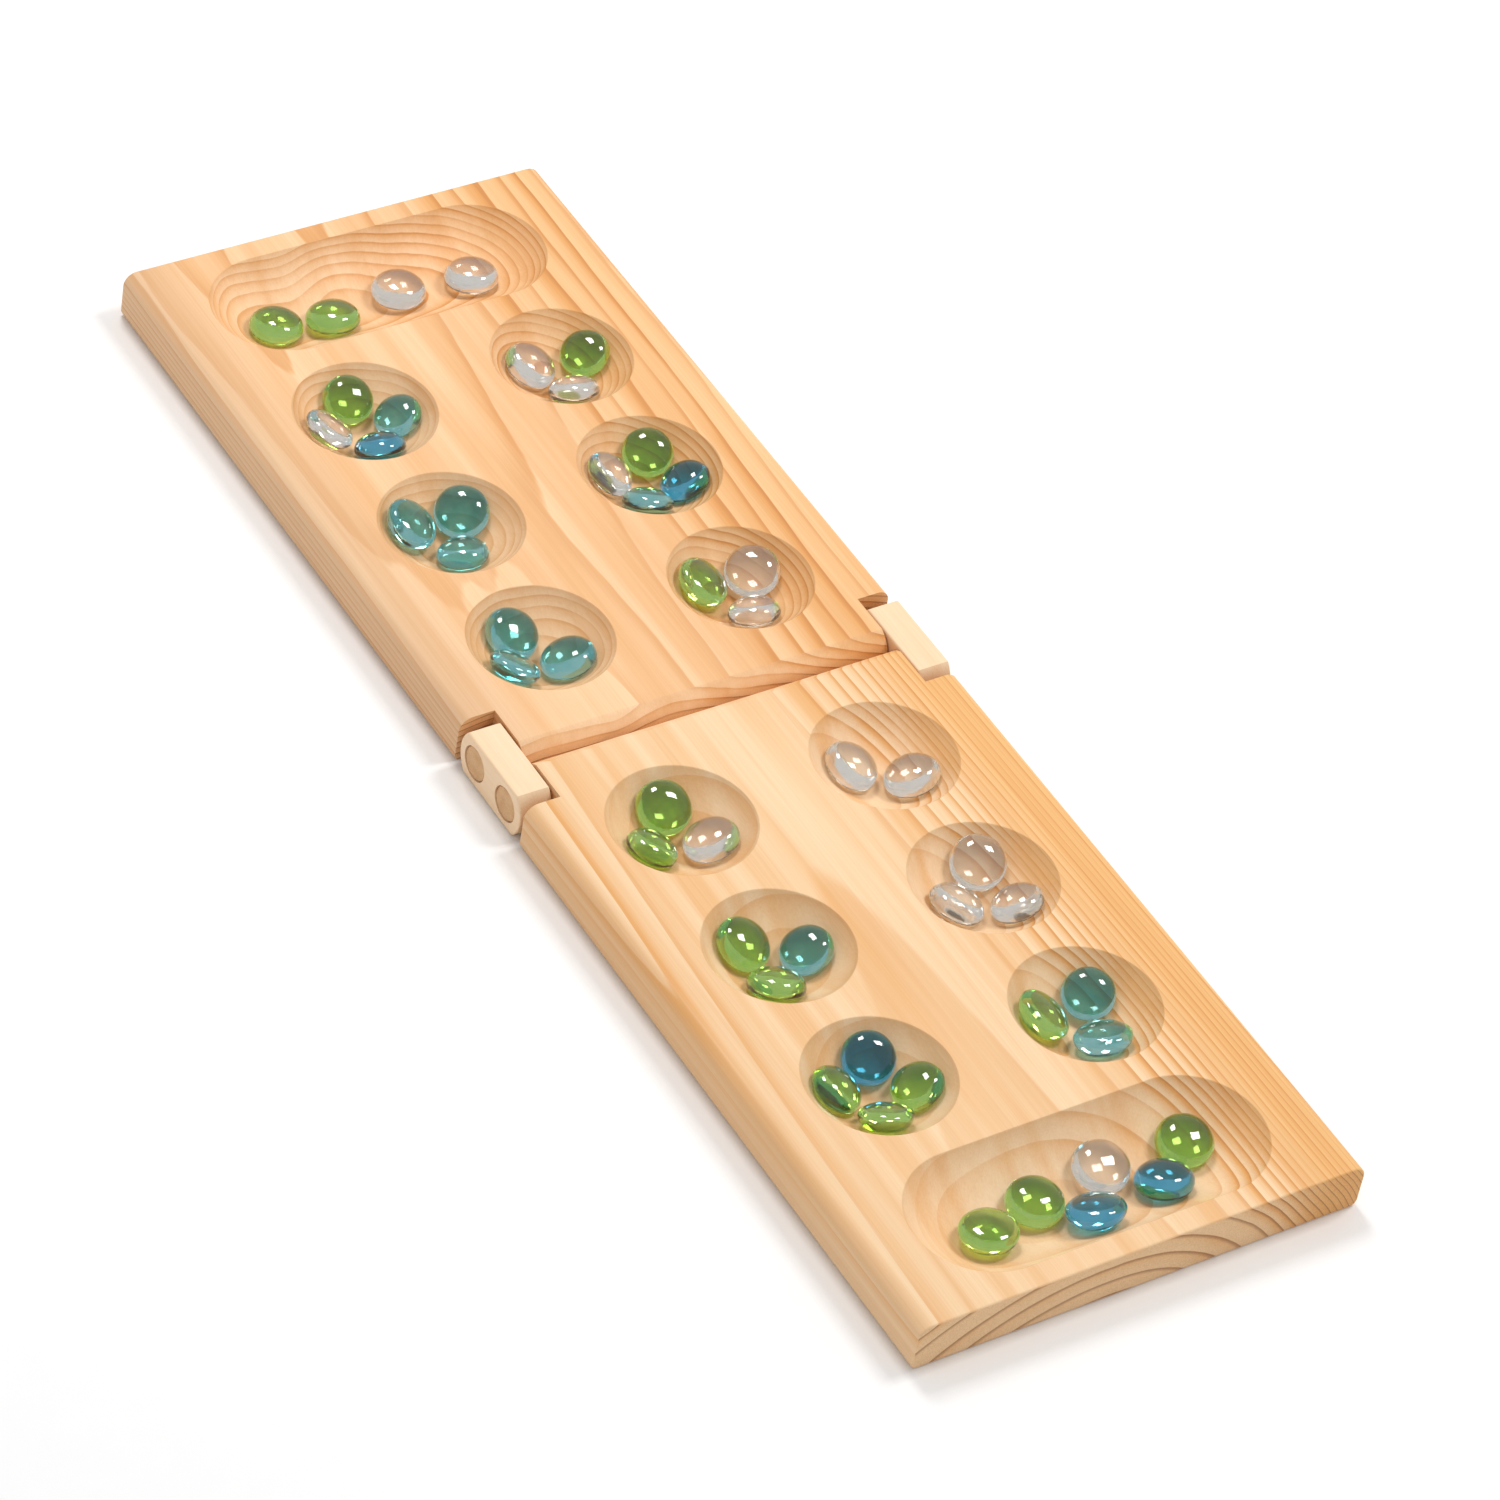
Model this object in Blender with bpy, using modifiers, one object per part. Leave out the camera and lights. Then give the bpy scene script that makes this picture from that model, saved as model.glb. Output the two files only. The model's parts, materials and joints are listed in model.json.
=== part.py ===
"""A folding mancala board: two grooved pine halves, two wooden hinge links, four dowels and the stones.

The open board lies flat, with its underside on z = 0 and the origin at the centre of that underside.
X runs along the board towards the near half, Y across it and Z up. Lengths are in metres.
"""

import math

import bmesh
import bpy
from mathutils import Matrix, Vector

# The board lying open
BOARD_LENGTH = 0.4380
BOARD_WIDTH = 0.1380
THICKNESS = 0.0150
TOP_EDGE_RADIUS = 0.0042
BOTTOM_EDGE_RADIUS = 0.0020

# The hinge: each half has a nose about its dowel axis, and each link has a fuller nose at both ends.
# The flat faces cut the noses off
DOWEL_X = 0.00835
NOSE_GAP = 0.0003
NOSE_RADIUS = DOWEL_X - NOSE_GAP / 2
DOWEL_RADIUS = 0.0050
DOWEL_LENGTH = 0.0300
DOWEL_RECESS = 0.0002
BORE_CLEARANCE = 0.0003
NOTCH_WALL_Y = 0.0582
NOTCH_REACH = 0.0097
LINK_THICKNESS = 0.0146
LINK_NOSE_RADIUS = 0.0101
LINK_NOSE_X = DOWEL_X - 0.0020
LINK_INNER_Y = NOTCH_WALL_Y + 0.0006
LINK_OUTER_Y = BOARD_WIDTH / 2
LINK_EDGE_ROUNDING = 0.0008

# The pits and stores: bowls cut with one round-nosed cutter
PIT_RADIUS = 0.0210
PIT_DEPTH = 0.0110
PIT_PITCH = 0.0508
FIRST_PIT_X = 0.0386
PITS_PER_COLUMN = 3
COLUMN_Y = 0.0322
BOWL_RADIUS = (PIT_RADIUS**2 + PIT_DEPTH**2) / (2 * PIT_DEPTH)
BOWL_CENTRE_Z = THICKNESS - PIT_DEPTH + BOWL_RADIUS

# The stones: round glass pebbles, domed above and flatter below
STONE_RADIUS = 0.0076
STONE_DOME = 0.0043
STONE_BASE = 0.0028
STONE_CLEARANCE = 0.0003
STONE_SIZES = {"small": 0.95, "medium": 1.0, "large": 1.07}

# How finely curves are divided
ROUND_STEPS = 28
BOWL_RINGS = 5
EDGE_STEPS = 5
NOSE_STEPS = 16
DOWEL_STEPS = 20
STONE_STEPS = 12
STONE_RINGS = 6

CUT_MARGIN = 0.0040

# What lies in each pit: glass, direction in degrees from +X, distance from the pit's axis in mm,
# size, and which side is up
PIT_STONES = {
    "far_left_3": (
        ("green", 176, 10.9, "medium", "dome"),
        ("teal", 87, 10.8, "small", "dome"),
        ("blue", -2, 10.7, "medium", "dome"),
        ("clear", -91, 10.9, "medium", "flat"),
    ),
    "far_left_2": (
        ("teal", -127, 10.8, "large", "flat"),
        ("teal", 133, 10.6, "large", "dome"),
        ("teal", 5, 6.8, "medium", "dome"),
    ),
    "far_left_1": (
        ("teal", -159, 9.7, "large", "dome"),
        ("teal", -67, 10.9, "medium", "flat"),
        ("teal", 52, 8.4, "large", "dome"),
    ),
    "far_right_3": (
        ("clear", -126, 8.7, "large", "dome"),
        ("green", 108, 10.8, "medium", "dome"),
        ("clear", -3, 9.5, "medium", "dome"),
    ),
    "far_right_2": (
        ("green", 150, 10.9, "medium", "dome"),
        ("clear", -119, 10.9, "medium", "dome"),
        ("teal", -30, 10.8, "medium", "dome"),
        ("blue", 60, 10.8, "medium", "dome"),
    ),
    "far_right_1": (
        ("green", -123, 10.0, "large", "flat"),
        ("clear", 125, 9.7, "large", "dome"),
        ("clear", 0, 9.0, "medium", "dome"),
    ),
    "near_left_1": (
        ("green", 175, 10.3, "large", "dome"),
        ("green", -79, 10.0, "medium", "dome"),
        ("clear", 54, 8.7, "large", "dome"),
    ),
    "near_left_2": (
        ("green", -146, 9.9, "large", "dome"),
        ("teal", 90, 9.5, "medium", "dome"),
        ("green", -31, 9.7, "large", "dome"),
    ),
    "near_left_3": (
        ("blue", 160, 10.9, "medium", "dome"),
        ("green", 70, 10.9, "medium", "dome"),
        ("green", -20, 10.9, "medium", "flat"),
        ("green", -110, 10.9, "medium", "dome"),
    ),
    "near_right_1": (
        ("clear", -123, 8.5, "large", "dome"),
        ("clear", 52, 8.5, "large", "dome"),
    ),
    "near_right_2": (
        ("clear", 152, 10.5, "large", "dome"),
        ("clear", -80, 8.8, "large", "dome"),
        ("clear", 39, 10.6, "medium", "dome"),
    ),
    "near_right_3": (
        ("green", -108, 10.9, "large", "flat"),
        ("teal", 137, 9.6, "medium", "dome"),
        ("teal", 3, 8.9, "large", "flat"),
    ),
}

# What lies in each store: glass, distance along the store and across it in mm, size, and side up
STORE_STONES = {
    "far_store": (
        ("green", -34.0, 1.3, "large", "dome"),
        ("green", -17.2, 4.5, "large", "dome"),
        ("clear", 7.0, 0.0, "large", "dome"),
        ("clear", 30.0, 2.5, "large", "dome"),
    ),
    "near_store": (
        ("green", -31.0, 2.4, "large", "flat"),
        ("green", -13.8, -2.0, "large", "dome"),
        ("clear", 8.5, -5.0, "large", "dome"),
        ("blue", -2.6, 8.8, "large", "flat"),
        ("blue", 21.0, 6.0, "large", "dome"),
        ("green", 34.0, -3.9, "large", "dome"),
    ),
}

FINISHES = {
    "pine": ((0.80, 0.58, 0.36, 1.0), 0.55),
    "link_wood": ((0.84, 0.67, 0.50, 1.0), 0.60),
    "dowel_wood": ((0.72, 0.52, 0.32, 1.0), 0.60),
    "green": ((0.16, 0.42, 0.06, 1.0), 0.08),
    "teal": ((0.03, 0.32, 0.31, 1.0), 0.08),
    "blue": ((0.03, 0.20, 0.34, 1.0), 0.08),
    "clear": ((0.80, 0.80, 0.76, 1.0), 0.08),
}


def clear_scene():
    for old in list(bpy.data.objects):
        bpy.data.objects.remove(old, do_unlink=True)


def new_collection(name):
    collection = bpy.data.collections.new(name)
    bpy.context.scene.collection.children.link(collection)
    return collection


def make_material(piece_name, finish):
    colour, roughness = FINISHES[finish]
    material = bpy.data.materials.new(piece_name)
    material.use_nodes = True
    shader = material.node_tree.nodes["Principled BSDF"]
    shader.inputs["Base Color"].default_value = colour
    shader.inputs["Roughness"].default_value = roughness
    shader.inputs["Metallic"].default_value = 0.0
    material.diffuse_color = colour
    return material


def add_mesh(name, mesh, collection, parent=None, place=Matrix()):
    obj = bpy.data.objects.new(name, mesh)
    collection.objects.link(obj)
    obj.parent = parent
    obj.matrix_local = place
    return obj


def mesh_from(name, bm, smooth_angle=20):
    bmesh.ops.remove_doubles(bm, verts=bm.verts, dist=1e-6)
    bmesh.ops.recalc_face_normals(bm, faces=bm.faces)
    mesh = bpy.data.meshes.new(name)
    bm.to_mesh(mesh)
    bm.free()
    mesh.shade_smooth()
    mesh.set_sharp_from_angle(angle=math.radians(smooth_angle))
    return mesh


def arc(centre, radius, start, end, steps):
    """Points on an arc in a plane, from the start angle to the end angle in degrees."""
    turns = [math.radians(start + (end - start) * i / steps) for i in range(steps + 1)]
    return [(centre[0] + radius * math.cos(t), centre[1] + radius * math.sin(t)) for t in turns]


def outline_mesh(name, points, depth):
    """The solid between two copies of a flat outline, from z = -depth / 2 to z = depth / 2."""
    curve = bpy.data.curves.new(name, "CURVE")
    curve.dimensions = "2D"
    curve.fill_mode = "BOTH"
    curve.extrude = depth / 2
    spline = curve.splines.new("POLY")
    spline.points.add(len(points) - 1)
    for point, (x, y) in zip(spline.points, points):
        point.co = (x, y, 0.0, 1.0)
    spline.use_cyclic_u = True
    guide = bpy.data.objects.new(name, curve)
    bpy.context.scene.collection.objects.link(guide)
    graph = bpy.context.evaluated_depsgraph_get()
    drawn = bpy.data.meshes.new_from_object(guide.evaluated_get(graph))
    bpy.data.objects.remove(guide, do_unlink=True)
    bm = bmesh.new()
    bm.from_mesh(drawn)
    bpy.data.meshes.remove(drawn)
    return mesh_from(name, bm)


def box_mesh(name, size):
    """A box centred on its own origin."""
    bm = bmesh.new()
    bmesh.ops.create_cube(bm, size=1.0, matrix=Matrix.Diagonal((*size, 1.0)))
    return mesh_from(name, bm)


def rod_mesh(name, radius, length):
    """A rod along Y, centred on its own origin."""
    bm = bmesh.new()
    bmesh.ops.create_cone(
        bm,
        cap_ends=True,
        segments=DOWEL_STEPS,
        radius1=radius,
        radius2=radius,
        depth=length,
        matrix=Matrix.Rotation(math.pi / 2, 4, "X"),
    )
    return mesh_from(name, bm)


def bowl_profile():
    """(distance from the axis, height above the board's top) from the bowl's floor up to its rim."""
    half_angle = math.asin(PIT_RADIUS / BOWL_RADIUS)
    angles = [half_angle * i / BOWL_RINGS for i in range(BOWL_RINGS + 1)]
    centre = BOWL_RADIUS - PIT_DEPTH
    return [(BOWL_RADIUS * math.sin(a), centre - BOWL_RADIUS * math.cos(a)) for a in angles]


def bowl_cutter_mesh(name, straight):
    """A bowl drawn out along Y by the straight length, open above the board's top."""
    profile = bowl_profile() + [(PIT_RADIUS, CUT_MARGIN), (0.0, CUT_MARGIN)]
    bm = bmesh.new()
    verts = [bm.verts.new((r, straight / 2, z)) for r, z in profile]
    edge_loop = [bm.edges.new(pair) for pair in zip(verts, verts[1:])]
    ends = verts + edge_loop
    for side in (1, -1):
        turned = bmesh.ops.spin(
            bm,
            geom=ends,
            cent=(0, side * straight / 2, 0),
            axis=(0, 0, 1),
            angle=math.pi,
            steps=ROUND_STEPS // 2,
        )
        ends = turned["geom_last"]
        if straight:
            edges = [e for e in ends if isinstance(e, bmesh.types.BMEdge)]
            drawn = bmesh.ops.extrude_edge_only(bm, edges=edges)["geom"]
            moved = [v for v in drawn if isinstance(v, bmesh.types.BMVert)]
            bmesh.ops.translate(bm, verts=moved, vec=(0, -side * straight, 0))
            ends = moved + [e for e in drawn if isinstance(e, bmesh.types.BMEdge)]
    return mesh_from(name, bm)


def nose_arc(centre_x, facing, radius, thickness):
    """A nose from one flat face to the other, facing 0 or 180 degrees from +X."""
    half_angle = math.degrees(math.asin(thickness / 2 / radius))
    return arc((centre_x, 0), radius, facing - half_angle, facing + half_angle, NOSE_STEPS)


def slab_outline():
    """One half's outline in X and Z, from its dowel axis: a nose, then a square end."""
    end_x = BOARD_LENGTH / 2 - DOWEL_X
    nose = nose_arc(0, 180, NOSE_RADIUS, THICKNESS)
    return nose + [(end_x, -THICKNESS / 2), (end_x, THICKNESS / 2)]


def section_outline():
    """A half's cross-section in Y and Z: a flat board, its long edges rounded over more above than below."""
    corners = (
        (1, -1, -90, BOTTOM_EDGE_RADIUS),
        (1, 1, 0, TOP_EDGE_RADIUS),
        (-1, 1, 90, TOP_EDGE_RADIUS),
        (-1, -1, 180, BOTTOM_EDGE_RADIUS),
    )
    points = []
    for side_y, side_z, start, radius in corners:
        centre = (side_y * (BOARD_WIDTH / 2 - radius), side_z * (THICKNESS / 2 - radius))
        points += arc(centre, radius, start, start + 90, EDGE_STEPS)
    return points


def cut(obj, cutter, operation="DIFFERENCE"):
    modifier = obj.modifiers.new(cutter.name, "BOOLEAN")
    modifier.operation = operation
    modifier.object = cutter
    modifier.solver = "EXACT"


def add_cutter(name, mesh, cutters, parent, place):
    cutter = add_mesh(name, mesh, cutters, parent, place)
    cutter.hide_render = True
    cutter.display_type = "WIRE"
    return cutter


def pit_x(number):
    """How far a pit's axis is from the middle of the board. The store takes the fourth place."""
    return FIRST_PIT_X + PIT_PITCH * (number - 1)


def build_half(side, axis, parts, cutters):
    """One half of the board. Its origin is its dowel axis, and its own +X points away from the hinge."""
    along_y = Matrix.Rotation(math.pi / 2, 4, "X")
    along_x = Matrix.Rotation(math.pi / 2, 4, "Z") @ Matrix.Rotation(math.pi / 2, 4, "X")
    slab = outline_mesh(side + "_half", slab_outline(), BOARD_WIDTH + 2 * CUT_MARGIN)
    half = add_mesh(side + "_half", slab, parts, axis, along_y)
    half.data.materials.append(make_material(side + "_half", "pine"))

    section = outline_mesh(side + "_section", section_outline(), BOARD_LENGTH)
    cut(half, add_cutter(side + "_section", section, cutters, axis, along_x), "INTERSECT")

    notch_depth = BOARD_WIDTH / 2 - NOTCH_WALL_Y + CUT_MARGIN
    notch_start = -NOSE_RADIUS - CUT_MARGIN
    notch_x = (notch_start + NOTCH_REACH) / 2
    notch_size = (NOTCH_REACH - notch_start, notch_depth, THICKNESS + 2 * CUT_MARGIN)
    notch_mesh = box_mesh(side + "_notch", notch_size)
    bore_length = 2 * (LINK_OUTER_Y - DOWEL_RECESS - DOWEL_LENGTH - BORE_CLEARANCE)
    bore_depth = BOARD_WIDTH / 2 + CUT_MARGIN - bore_length / 2
    bore_mesh = rod_mesh(side + "_bore", DOWEL_RADIUS + BORE_CLEARANCE, bore_depth)
    for edge, word in ((-1, "right"), (1, "left")):
        notch_y = edge * (NOTCH_WALL_Y + notch_depth / 2)
        bore_y = edge * (BOARD_WIDTH / 2 + CUT_MARGIN - bore_depth / 2)
        notch_name = f"{side}_notch_{word}"
        bore_name = f"{side}_bore_{word}"
        notch_place = Matrix.Translation((notch_x, notch_y, 0))
        cut(half, add_cutter(notch_name, notch_mesh, cutters, axis, notch_place))
        cut(half, add_cutter(bore_name, bore_mesh, cutters, axis, Matrix.Translation((0, bore_y, 0))))

    top = THICKNESS / 2
    pit_mesh = bowl_cutter_mesh(side + "_pit", 0.0)
    for number in range(1, PITS_PER_COLUMN + 1):
        for edge in (-1, 1):
            place = Matrix.Translation((pit_x(number) - DOWEL_X, edge * COLUMN_Y, top))
            cut(half, add_cutter(f"{side}_pit_{number}_{edge}", pit_mesh, cutters, axis, place))
    store_mesh = bowl_cutter_mesh(side + "_store", 2 * COLUMN_Y)
    store_place = Matrix.Translation((pit_x(PITS_PER_COLUMN + 1) - DOWEL_X, 0, top))
    cut(half, add_cutter(side + "_store_cutter", store_mesh, cutters, axis, store_place))
    return half


def build_dowels(side, axis, parts):
    """The two dowels fixed in one half, each reaching out through a hinge link."""
    mesh = rod_mesh(side + "_dowel", DOWEL_RADIUS, DOWEL_LENGTH)
    middle_y = LINK_OUTER_Y - DOWEL_RECESS - DOWEL_LENGTH / 2
    outward = axis.matrix_local.to_3x3().col[1].y
    for y, word in ((-middle_y, "left"), (middle_y, "right")):
        name = f"{side}_dowel_{word}"
        dowel = add_mesh(name, mesh.copy(), parts, axis, Matrix.Translation((0, outward * y, 0)))
        dowel.data.materials.append(make_material(name, "dowel_wood"))


def build_link(word, edge, parts, cutters):
    """A wooden link at one long side, nosed at both ends and bored for a dowel of each half."""
    width = LINK_OUTER_Y - LINK_INNER_Y
    outline = nose_arc(-LINK_NOSE_X, 180, LINK_NOSE_RADIUS, LINK_THICKNESS)
    outline += nose_arc(LINK_NOSE_X, 0, LINK_NOSE_RADIUS, LINK_THICKNESS)
    name = "hinge_link_" + word
    middle = Vector((0, edge * (LINK_INNER_Y + LINK_OUTER_Y) / 2, THICKNESS / 2))
    place = Matrix.Translation(middle) @ Matrix.Rotation(math.pi / 2, 4, "X")
    link = add_mesh(name, outline_mesh(name, outline, width), parts, None, place)
    link.data.materials.append(make_material(name, "link_wood"))
    rounding = link.modifiers.new("edge_rounding", "BEVEL")
    rounding.width = LINK_EDGE_ROUNDING
    rounding.segments = 1
    rounding.limit_method = "ANGLE"
    rounding.angle_limit = math.radians(60)
    bore_mesh = rod_mesh(name + "_bore", DOWEL_RADIUS + BORE_CLEARANCE, width + 2 * CUT_MARGIN)
    for x, end in ((-DOWEL_X, "far"), (DOWEL_X, "near")):
        bore_place = Matrix.Translation((x, middle.y, middle.z))
        cut(link, add_cutter(f"{name}_bore_{end}", bore_mesh, cutters, None, bore_place))


def stone_profile(size, side_up):
    """(radius, height) down the outside of a stone that lies with the given side up."""
    points = []
    for i in range(STONE_RINGS + 1):
        turn = math.pi * i / STONE_RINGS
        height = STONE_DOME if turn < math.pi / 2 else STONE_BASE
        points.append((size * STONE_RADIUS * math.sin(turn) ** 0.8, size * height * math.cos(turn)))
    if side_up == "flat":
        points = [(radius, -height) for radius, height in reversed(points)]
    return points


def stone_mesh(name, profile):
    bm = bmesh.new()
    verts = [bm.verts.new((radius, 0, height)) for radius, height in profile]
    edges = [bm.edges.new(pair) for pair in zip(verts, verts[1:])]
    bmesh.ops.spin(
        bm,
        geom=verts + edges,
        cent=(0, 0, 0),
        axis=(0, 0, 1),
        angle=2 * math.pi,
        steps=STONE_STEPS,
        use_merge=True,
    )
    return mesh_from(name, bm, 180)


def resting_place(profile, bowl_centre, across):
    """A stone's place when it lies flat against a bowl, at a sideways distance from the bowl's centre."""
    reach = BOWL_RADIUS - STONE_CLEARANCE
    seat = min(height + math.sqrt(reach**2 - radius**2) for radius, height in profile)
    down = Vector((across.x, across.y, -math.sqrt(seat**2 - across.length_squared)))
    turned = (-down).to_track_quat("Z", "X").to_matrix().to_4x4()
    return Matrix.Translation(bowl_centre + down) @ turned


def add_stone(name, glass, profile, bowl_centre, across, parts):
    place = resting_place(profile, bowl_centre, across)
    stone = add_mesh(name, stone_mesh(name, profile), parts, None, place)
    stone.data.materials.append(make_material(name, glass))


def build_pit_stones(parts):
    for pit, stones in PIT_STONES.items():
        half, column, number = pit.split("_")
        x = pit_x(int(number)) * (-1 if half == "far" else 1)
        y = COLUMN_Y * (-1 if column == "left" else 1)
        centre = Vector((x, y, BOWL_CENTRE_Z))
        for count, (glass, degrees, distance, size, side_up) in enumerate(stones, 1):
            turn = math.radians(degrees)
            across = Vector((math.cos(turn), math.sin(turn))) * distance / 1000
            profile = stone_profile(STONE_SIZES[size], side_up)
            add_stone(f"{pit}_stone_{count}", glass, profile, centre, across, parts)


def build_store_stones(parts):
    for store, stones in STORE_STONES.items():
        x = pit_x(PITS_PER_COLUMN + 1) * (-1 if store == "far_store" else 1)
        for count, (glass, along, sideways, size, side_up) in enumerate(stones, 1):
            middle_y = max(-COLUMN_Y, min(COLUMN_Y, along / 1000))
            centre = Vector((x, middle_y, BOWL_CENTRE_Z))
            across = Vector((sideways / 1000, along / 1000 - middle_y))
            profile = stone_profile(STONE_SIZES[size], side_up)
            add_stone(f"{store}_stone_{count}", glass, profile, centre, across, parts)


def main():
    clear_scene()
    parts = new_collection("mancala_board")
    cutters = new_collection("cutters")
    for side, x, turn in (("far", -DOWEL_X, math.pi), ("near", DOWEL_X, 0.0)):
        axis = bpy.data.objects.new(side + "_hinge_axis", None)
        parts.objects.link(axis)
        axis.matrix_local = Matrix.Translation((x, 0, THICKNESS / 2)) @ Matrix.Rotation(turn, 4, "Z")
        build_half(side, axis, parts, cutters)
        build_dowels(side, axis, parts)
    build_link("left", -1, parts, cutters)
    build_link("right", 1, parts, cutters)
    build_pit_stones(parts)
    build_store_stones(parts)


main()
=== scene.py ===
"""The looks of the folding mancala board: grained pine halves, pale hinge links, dowels and glass stones.

Everything is in metres in the CAD model's frame: X along the board towards the near half, Y across it
and Z up from the underside. The grain is worked out in millimetres in the same frame.
"""

import json
import math

import bmesh
import bpy
import numpy as np
from mathutils import Matrix, Vector


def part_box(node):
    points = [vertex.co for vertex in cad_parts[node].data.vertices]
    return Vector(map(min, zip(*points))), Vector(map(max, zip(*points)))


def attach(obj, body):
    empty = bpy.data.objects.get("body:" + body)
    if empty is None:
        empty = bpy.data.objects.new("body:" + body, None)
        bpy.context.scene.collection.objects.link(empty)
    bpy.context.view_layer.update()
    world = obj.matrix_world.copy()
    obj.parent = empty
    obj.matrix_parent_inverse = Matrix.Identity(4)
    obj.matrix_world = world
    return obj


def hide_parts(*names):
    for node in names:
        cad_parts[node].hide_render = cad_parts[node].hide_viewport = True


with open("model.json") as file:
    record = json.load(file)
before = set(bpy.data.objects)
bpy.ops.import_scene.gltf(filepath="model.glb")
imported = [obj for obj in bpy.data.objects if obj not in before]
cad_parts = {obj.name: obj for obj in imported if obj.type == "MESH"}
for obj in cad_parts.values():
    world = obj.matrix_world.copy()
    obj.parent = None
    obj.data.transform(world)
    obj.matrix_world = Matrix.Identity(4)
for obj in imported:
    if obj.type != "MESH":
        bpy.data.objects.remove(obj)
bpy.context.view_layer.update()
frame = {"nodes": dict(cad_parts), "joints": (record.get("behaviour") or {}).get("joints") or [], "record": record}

RECORD = frame["record"]
BODIES = RECORD["behaviour"]["bodies"]
JOINTS = {joint["name"]: joint for joint in frame["joints"]}
SLOTS = {part["node"]: part["material_slot"] for part in RECORD["subparts"]}
BODY_OF = {node: body for body, nodes in BODIES.items() for node in nodes}
MM_PER_M = 1000

# The board's own sizes, from the CAD model
FAR_LOW, FAR_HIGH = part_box("far_half")
LINK_LOW, LINK_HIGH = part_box("hinge_link_left")
THICKNESS = FAR_HIGH.z - FAR_LOW.z
THICKNESS_MM = THICKNESS * MM_PER_M
BOARD_WIDTH = FAR_HIGH.y - FAR_LOW.y
HALF_END = -FAR_LOW.x
DOWEL_X, DOWEL_Z = JOINTS["fold_near"]["pos_m"][0], JOINTS["fold_near"]["pos_m"][2]
NOSE_RADIUS = DOWEL_X + FAR_HIGH.x
LINK_THICKNESS = LINK_HIGH.z - LINK_LOW.z
LINK_GAP = 0.0006
TOP_EDGE_RADIUS = 0.0042
BOTTOM_EDGE_RADIUS = 0.0020
LINK_NOSE_RADIUS = 0.0101
LINK_NOSE_X = DOWEL_X - 0.0020
NOTCH_REACH = 0.0097
BORE_CLEARANCE = 0.0003
PIT_RADIUS = 0.0210
PIT_DEPTH = 0.0110
PIT_PITCH = 0.0508
FIRST_PIT_X = 0.0386
PITS_PER_COLUMN = 3
COLUMN_Y = 0.0322

# Small roundings that sanding leaves
RIM_ROUNDING = 0.0005
NOSE_EDGE_ROUNDING = 0.0003
END_ROUNDING = 0.0006
LINK_ROUNDING = 0.0007
DOWEL_CHAMFER = 0.0003

# How finely curves are divided
BOWL_STEPS = 112
BOWL_RINGS = 20
RIM_STEPS = 4
SECTION_STEPS = 12
NOSE_STEPS = 32
DOWEL_STEPS = 48
STONE_STEPS = 48
STONE_RINGS = 24
EASE_STEPS = 4
CUT_MARGIN = 0.0040
FLUSH_GAP = 0.000002
MERGE_DISTANCE = 0.0000001

# Where shading breaks: at edges turned more than the first angle, and round faces square to an axis
SHARP_ANGLE = 28
FLAT_FACE_ANGLE = 0.3
SQUARE_NORMAL = 0.999999

# How a pressed pebble swells and how uneven it is
STONE_ROUNDNESS = 0.8
STONE_LUMPS = 0.012
LUMP_COUNT = 4
LEAST_LUMP = 0.3
LUMP_TWIST = 2.0
STONE_SEED = 48

# How a CAD stone is measured: digits kept of its points, and how near the widest ring counts as in it
POINT_DIGITS = 7
WIDEST_MARGIN = 0.00001


# ---------------------------------------------------------------------------------- meshes


def smooth_mesh(name, bm, smooth_angle=SHARP_ANGLE):
    """A mesh shaded smooth, except at edges sharper than the angle and round its flat faces."""
    bmesh.ops.remove_doubles(bm, verts=bm.verts, dist=MERGE_DISTANCE)
    bmesh.ops.recalc_face_normals(bm, faces=bm.faces)
    for face in bm.faces:
        face.smooth = True
    bm.normal_update()
    for edge in bm.edges:
        if len(edge.link_faces) != 2:
            continue
        normals = [face.normal for face in edge.link_faces]
        turn = math.degrees(normals[0].angle(normals[1], 0.0))
        flat = any(max(abs(c) for c in normal) > SQUARE_NORMAL for normal in normals)
        edge.smooth = turn < smooth_angle and not (flat and turn > FLAT_FACE_ANGLE)
    mesh = bpy.data.meshes.new(name)
    bm.to_mesh(mesh)
    bm.free()
    return mesh


def new_object(name, mesh):
    obj = bpy.data.objects.new(name, mesh)
    bpy.context.scene.collection.objects.link(obj)
    return obj


def arc(centre, radius, start, end, steps):
    """Points on an arc in a plane, from the start angle to the end angle in degrees."""
    turns = [math.radians(start + (end - start) * i / steps) for i in range(steps + 1)]
    return [(centre[0] + radius * math.cos(t), centre[1] + radius * math.sin(t)) for t in turns]


def loft(rings, closed_ends=True):
    """A closed body through rings of the same number of points."""
    bm = bmesh.new()
    rows = [[bm.verts.new(point) for point in ring] for ring in rings]
    count = len(rows[0])
    for row, after in zip(rows, rows[1:]):
        for i in range(count):
            j = (i + 1) % count
            bm.faces.new((row[i], row[j], after[j], after[i]))
    if closed_ends:
        bm.faces.new(rows[0])
        bm.faces.new(rows[-1])
    bmesh.ops.recalc_face_normals(bm, faces=bm.faces)
    return bm


def join_all(parts):
    """One bmesh out of several, placed by their matrices."""
    whole = bmesh.new()
    for part, place in parts:
        part.transform(place)
        held = bpy.data.meshes.new("held")
        part.to_mesh(held)
        part.free()
        whole.from_mesh(held)
        bpy.data.meshes.remove(held)
    return whole


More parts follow.
